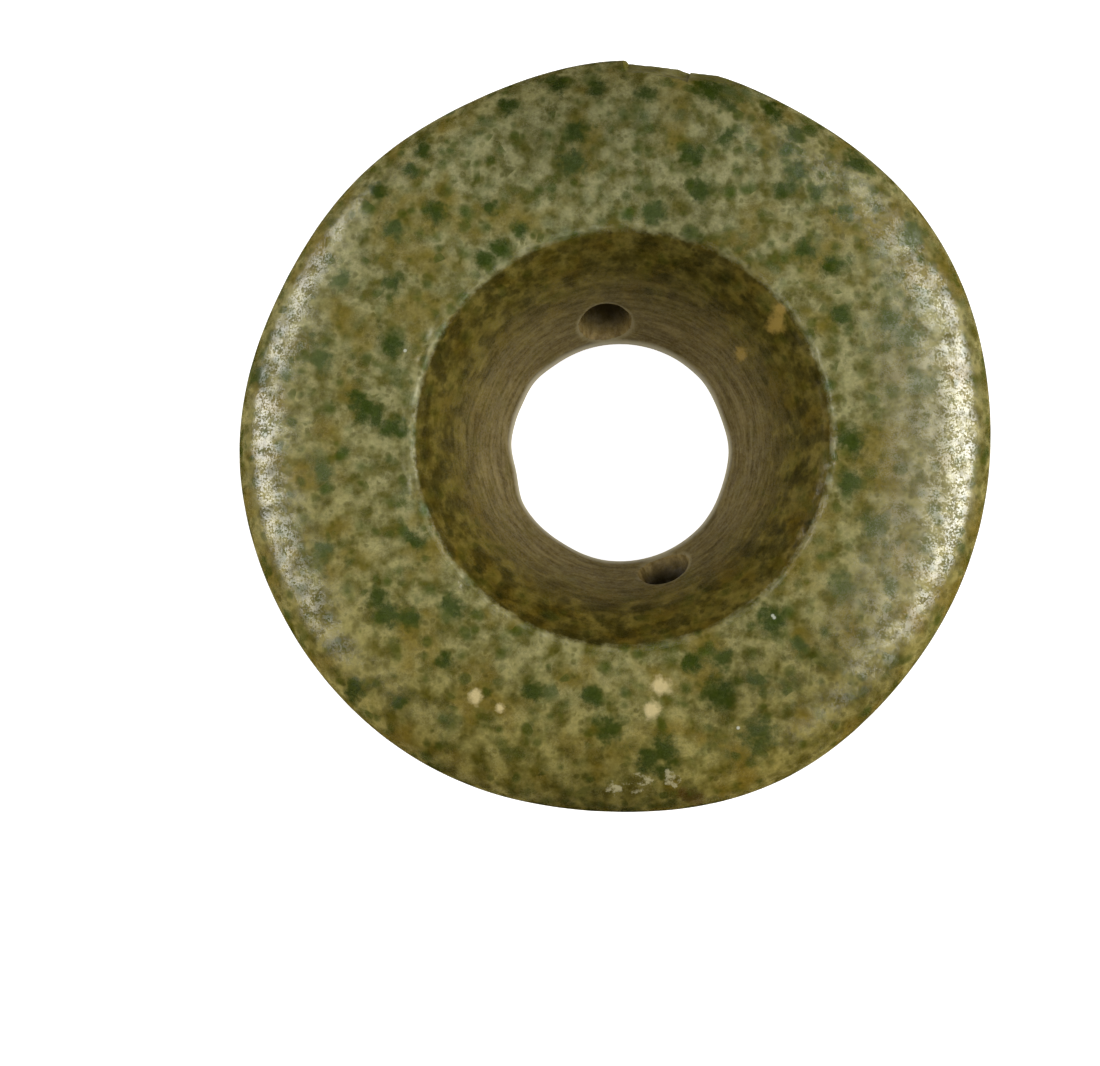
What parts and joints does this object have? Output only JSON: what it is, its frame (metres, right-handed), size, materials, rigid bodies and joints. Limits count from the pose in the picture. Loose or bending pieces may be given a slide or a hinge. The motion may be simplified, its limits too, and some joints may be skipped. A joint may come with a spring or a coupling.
{
  "type": "jade ear spool",
  "caption": "Round mottled-jade ear spool: a broad polished flare with a funnel throat on a short open neck drilled for a cord, old chips at its rim.",
  "frame": {"origin": "on the axis of the bore, at the flat foot that the spool lies on", "axes": "+Z along the bore, from the foot up through the polished face; +Y towards the chipped stretch of the rim"},
  "size_m": [0.0469, 0.0471, 0.016],
  "materials": {
    "jade": "polished"
  },
  "bodies": {
    "root": {"ear_spool": "jade"}
  },
  "joints": []
}
